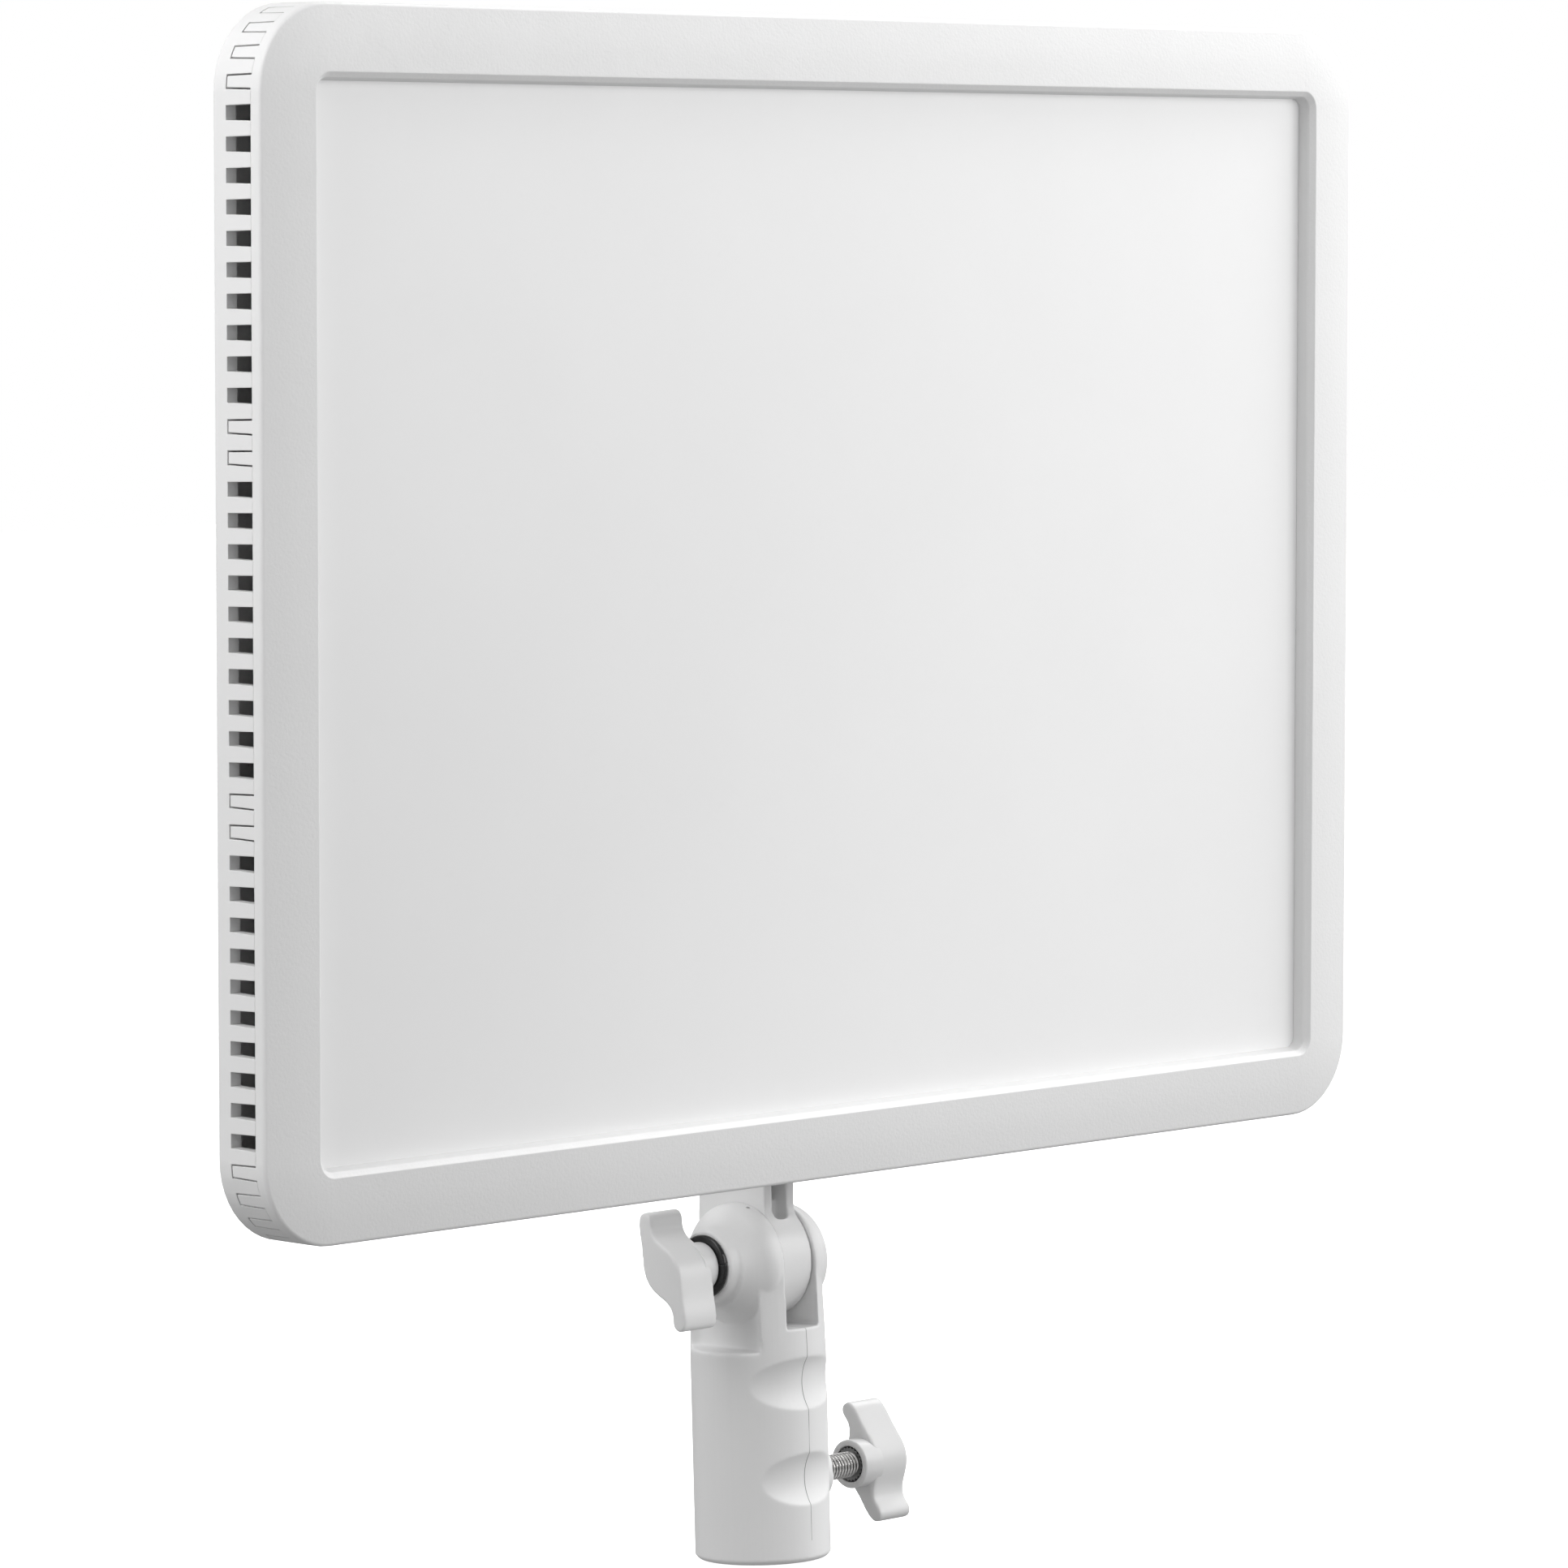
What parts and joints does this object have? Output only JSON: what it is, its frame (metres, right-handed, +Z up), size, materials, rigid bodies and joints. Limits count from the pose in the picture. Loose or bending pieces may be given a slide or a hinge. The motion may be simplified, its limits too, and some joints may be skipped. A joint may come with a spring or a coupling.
{
  "type": "led panel light",
  "caption": "Slim edge-lit LED panel light with a recessed diffuser, on a tilting receiver that clamps to a 16 mm light stand stud.",
  "frame": {"origin": "centre of the stand bore's mouth, at the bottom of the receiver", "axes": "+Z up the bore, -Y the way the light shines, +X to the right of someone who faces the lit side"},
  "size_m": [0.36, 0.0558, 0.3572],
  "materials": {
    "white_plastic": "fine pebbled moulding texture",
    "receiver_plastic": "fine satin moulding texture",
    "knob_plastic": "soft satin",
    "diffuser": "very fine matt",
    "clear_acrylic": "polished, printed dots on the back",
    "film": "satin film",
    "black_aluminium": "black anodised",
    "steel": "zinc plated",
    "black_steel": "black oxide",
    "brass": "machined",
    "washer_black": "satin",
    "circuit_board": "solder mask",
    "led_board": "white solder mask",
    "led_emitter": "phosphor",
    "component_black": "moulded epoxy",
    "lead_insulation": "flat cable",
    "screen_black": "glass screen",
    "window": "smoked, polished",
    "dial_grey": "satin",
    "button_grey": "satin"
  },
  "bodies": {
    "receiver": {"stand_receiver": "receiver_plastic", "lock_insert": "brass", "pivot_bolt": "steel"},
    "head": {"front_bezel": "white_plastic", "diffuser_plate": "diffuser", "diffusion_film": "film", "light_guide_plate": "clear_acrylic", "reflector_sheet": "film", "heat_sink_tray": "black_aluminium", "led_strip_left": "led_board", "led_strip_right": "led_board", "led_chips_left": "led_emitter", "led_chips_right": "led_emitter", "led_harness": "lead_insulation", "rear_housing": "white_plastic", "housing_screws": "steel", "driver_board": "circuit_board", "driver_components": "component_black", "driver_standoffs": "steel", "driver_screws": "steel", "tilt_arm": "receiver_plastic", "arm_screws": "black_steel", "arm_backing_plate": "steel", "control_cover": "white_plastic", "cover_screws": "steel", "control_board": "circuit_board", "board_screws": "steel", "display_module": "screen_black", "display_window": "window", "encoder_bodies": "steel", "button_switches": "component_black", "dc_inlet": "component_black", "dc_inlet_pin": "steel"},
    "tilt_washer": {"knob_washer": "washer_black"},
    "tilt_knob": {"tilt_knob": "knob_plastic", "tilt_knob_insert": "brass"},
    "lock_tip": {"lock_pad": "brass"},
    "lock_knob": {"lock_knob": "knob_plastic", "lock_screw": "steel"},
    "brightness_control": {"brightness_shaft": "steel", "brightness_dial": "dial_grey"},
    "colour_control": {"colour_shaft": "steel", "colour_dial": "dial_grey"},
    "power_button": {"power_button": "button_grey"},
    "mode_button": {"mode_button": "button_grey"}
  },
  "joints": [
    {"name": "head_tilt", "type": "hinge", "parent": "receiver", "child": "head", "pos_m": [0, 0, 0.0698], "axis": [1, 0, 0], "range_deg": [-90, 88]},
    {"name": "tilt_knob_travel", "type": "slide", "parent": "receiver", "child": "tilt_washer", "axis": [-1, 0, 0], "range_m": [0, 0.003]},
    {"name": "tilt_knob_turn", "type": "hinge", "parent": "tilt_washer", "child": "tilt_knob", "pos_m": [-0.022, 0, 0.0698], "axis": [-1, 0, 0], "range_deg": [0, 1080]},
    {"name": "lock_screw_travel", "type": "slide", "parent": "receiver", "child": "lock_tip", "axis": [-1, 0, 0], "range_m": [-0.003, 0.01]},
    {"name": "lock_knob_turn", "type": "hinge", "parent": "lock_tip", "child": "lock_knob", "pos_m": [0.035, 0, 0.0178], "axis": [-1, 0, 0], "range_deg": [-1080, 3600]},
    {"name": "brightness_turn", "type": "hinge", "parent": "head", "child": "brightness_control", "pos_m": [-0.052, 0.00232, 0.22107], "axis": [0, 0.9994, 0.0349], "continuous": true},
    {"name": "colour_turn", "type": "hinge", "parent": "head", "child": "colour_control", "pos_m": [0.052, 0.00232, 0.22107], "axis": [0, 0.9994, 0.0349], "continuous": true},
    {"name": "power_press", "type": "slide", "parent": "head", "child": "power_button", "axis": [0, -0.9994, -0.0349], "range_m": [0, 0.0008], "stiffness_N_per_m": 500, "springref_m": -0.001},
    {"name": "mode_press", "type": "slide", "parent": "head", "child": "mode_button", "axis": [0, -0.9994, -0.0349], "range_m": [0, 0.0008], "stiffness_N_per_m": 500, "springref_m": -0.001}
  ],
  "couplings": [
    {"joint": "tilt_knob_turn", "follows": "tilt_knob_travel", "rad_per_m": 6283.2},
    {"joint": "lock_knob_turn", "follows": "lock_screw_travel", "rad_per_m": 6283.2}
  ]
}
